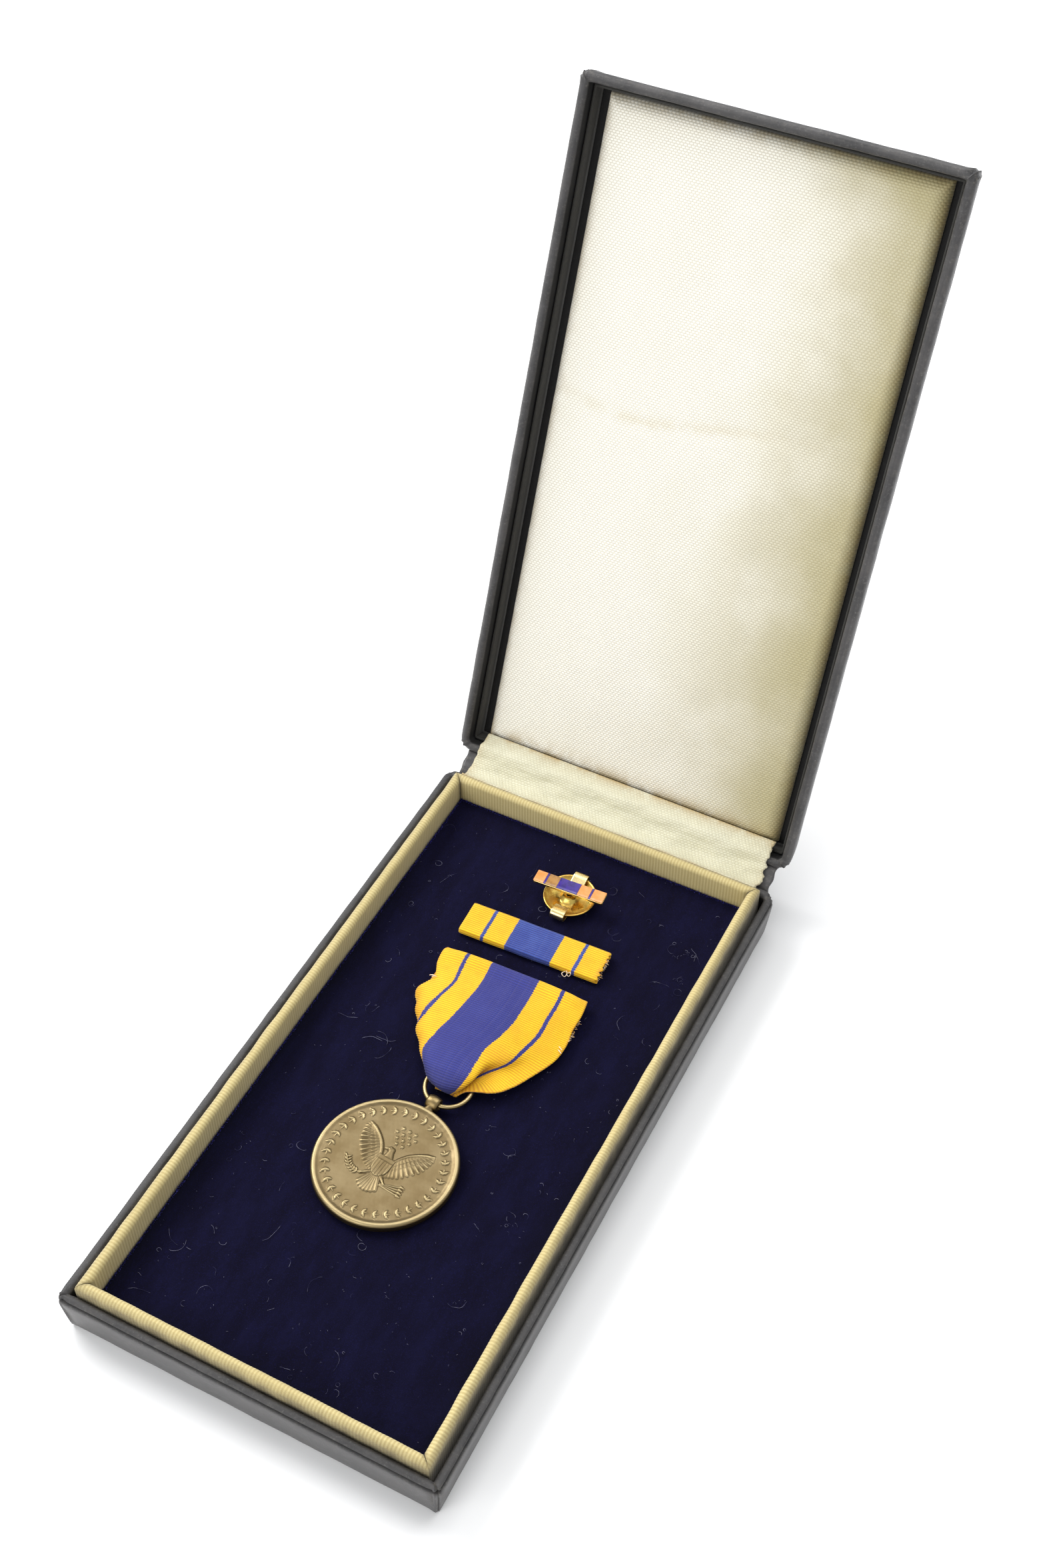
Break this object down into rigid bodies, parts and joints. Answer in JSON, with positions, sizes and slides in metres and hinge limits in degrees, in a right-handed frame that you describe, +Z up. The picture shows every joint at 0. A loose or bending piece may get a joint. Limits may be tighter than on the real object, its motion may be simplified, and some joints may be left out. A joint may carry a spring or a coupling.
{
  "type": "cased service medal",
  "caption": "Service medal on a draped striped ribbon, with its ribbon bar and enamel lapel pin, lying on the velvet pad of a hinged, satin-lined presentation case.",
  "frame": {"origin": "centre of the case base, on its underside", "axes": "+X across the case to its right as it is read, +Y along the case to the hinge, +Z up out of the tray"},
  "size_m": [0.088, 0.2362, 0.1651],
  "materials": {
    "leatherette": "black-grey grained leatherette paper over card, worn at the corners",
    "ribbed_cloth": "cream corded cloth",
    "velvet": "navy velvet with lint",
    "satin": "ivory satin, lightly stained",
    "piping": "thin olive-gold edging",
    "card": "plain card",
    "ribbon": "corded ribbon, golden yellow with blue stripes",
    "bronze": "matt antique bronze",
    "brass": "bright pressed brass",
    "gilt": "polished gilt",
    "enamel_orange": "glossy opaque enamel",
    "enamel_blue": "glossy opaque enamel"
  },
  "bodies": {
    "case_base": {"base_walls": "leatherette", "base_floor": "leatherette", "collar_front": "ribbed_cloth", "collar_right": "ribbed_cloth", "collar_back": "ribbed_cloth", "collar_left": "ribbed_cloth", "velvet_pad": "velvet", "pad_board": "card", "pad_riser_left": "card", "pad_riser_right": "card", "hinge_satin": "satin", "hinge_spine": "leatherette"},
    "lid": {"lid_walls": "leatherette", "lid_panel": "leatherette", "lid_trim": "piping", "lid_pad": "satin"},
    "brooch": {"medal_ribbon": "ribbon", "brooch_bar": "bronze", "brooch_back_plate": "bronze", "brooch_pin_yoke": "bronze", "brooch_pin_rivet": "bronze", "brooch_pin_catch": "bronze"},
    "medal_pin": {"brooch_pin": "bronze"},
    "ring": {"suspension_ring": "bronze"},
    "medal": {"medal_disc": "bronze", "medal_lug": "bronze"},
    "service_bar": {"ribbon_bar_ribbon": "ribbon", "ribbon_bar_plate": "brass", "ribbon_bar_pin_yoke": "brass", "ribbon_bar_pin_rivet": "brass", "ribbon_bar_pin_catch": "brass"},
    "service_bar_pin": {"ribbon_bar_pin": "brass"},
    "clutch": {"clutch_disc": "brass"},
    "wing_back": {"clutch_wing_back": "brass"},
    "wing_front": {"clutch_wing_front": "brass"},
    "lapel_pin": {"lapel_bar": "gilt", "enamel_outer_left": "enamel_orange", "enamel_stripe_left": "enamel_blue", "enamel_inner_left": "enamel_orange", "enamel_centre": "enamel_blue", "enamel_inner_right": "enamel_orange", "enamel_stripe_right": "enamel_blue", "enamel_outer_right": "enamel_orange", "lapel_post": "gilt"}
  },
  "joints": [
    {"name": "lid_hinge", "type": "hinge", "parent": "case_base", "child": "lid", "pos_m": [0, 0.0845, 0.0117], "axis": [-1, 0, 0], "range_deg": [-112, 0]},
    {"name": "medal_lift", "type": "slide", "parent": "case_base", "child": "brooch", "axis": [0, 0, 1], "range_m": [0, 0.04]},
    {"name": "medal_pin_hinge", "type": "hinge", "parent": "brooch", "child": "medal_pin", "pos_m": [-0.0132, 0.02932, 0.0055], "axis": [-0.0279, 0.9996, 0], "range_deg": [0, 7]},
    {"name": "ring_swing", "type": "hinge", "parent": "brooch", "child": "ring", "pos_m": [0.00098, 0.00486, 0.0099], "axis": [-0.9996, -0.0279, 0], "range_deg": [0, 45]},
    {"name": "medal_swing", "type": "hinge", "parent": "ring", "child": "medal", "pos_m": [0.00025, -0.00536, 0.0099], "axis": [-0.9951, 0.0993, 0], "range_deg": [0, 90]},
    {"name": "service_bar_lift", "type": "slide", "parent": "case_base", "child": "service_bar", "axis": [0, 0, 1], "range_m": [0, 0.04]},
    {"name": "service_bar_pin_hinge", "type": "hinge", "parent": "service_bar", "child": "service_bar_pin", "pos_m": [-0.01326, 0.04356, 0.0067], "axis": [-0.0401, 0.9992, 0], "range_deg": [0, 8]},
    {"name": "clutch_lift", "type": "slide", "parent": "case_base", "child": "clutch", "axis": [0, 0, 1], "range_m": [0, 0.03]},
    {"name": "lapel_pull", "type": "slide", "parent": "clutch", "child": "lapel_pin", "axis": [0, 0, 1], "range_m": [0, 0.01]},
    {"name": "wing_squeeze", "type": "slide", "parent": "clutch", "child": "wing_back", "axis": [0, -1, 0], "range_m": [0, 0.0005], "stiffness_N_per_m": 60},
    {"name": "wing_squeeze_front", "type": "slide", "parent": "clutch", "child": "wing_front", "axis": [0, 1, 0], "range_m": [0, 0.0005]}
  ],
  "couplings": [
    {"joint": "wing_squeeze_front", "follows": "wing_squeeze", "ratio": 1}
  ]
}
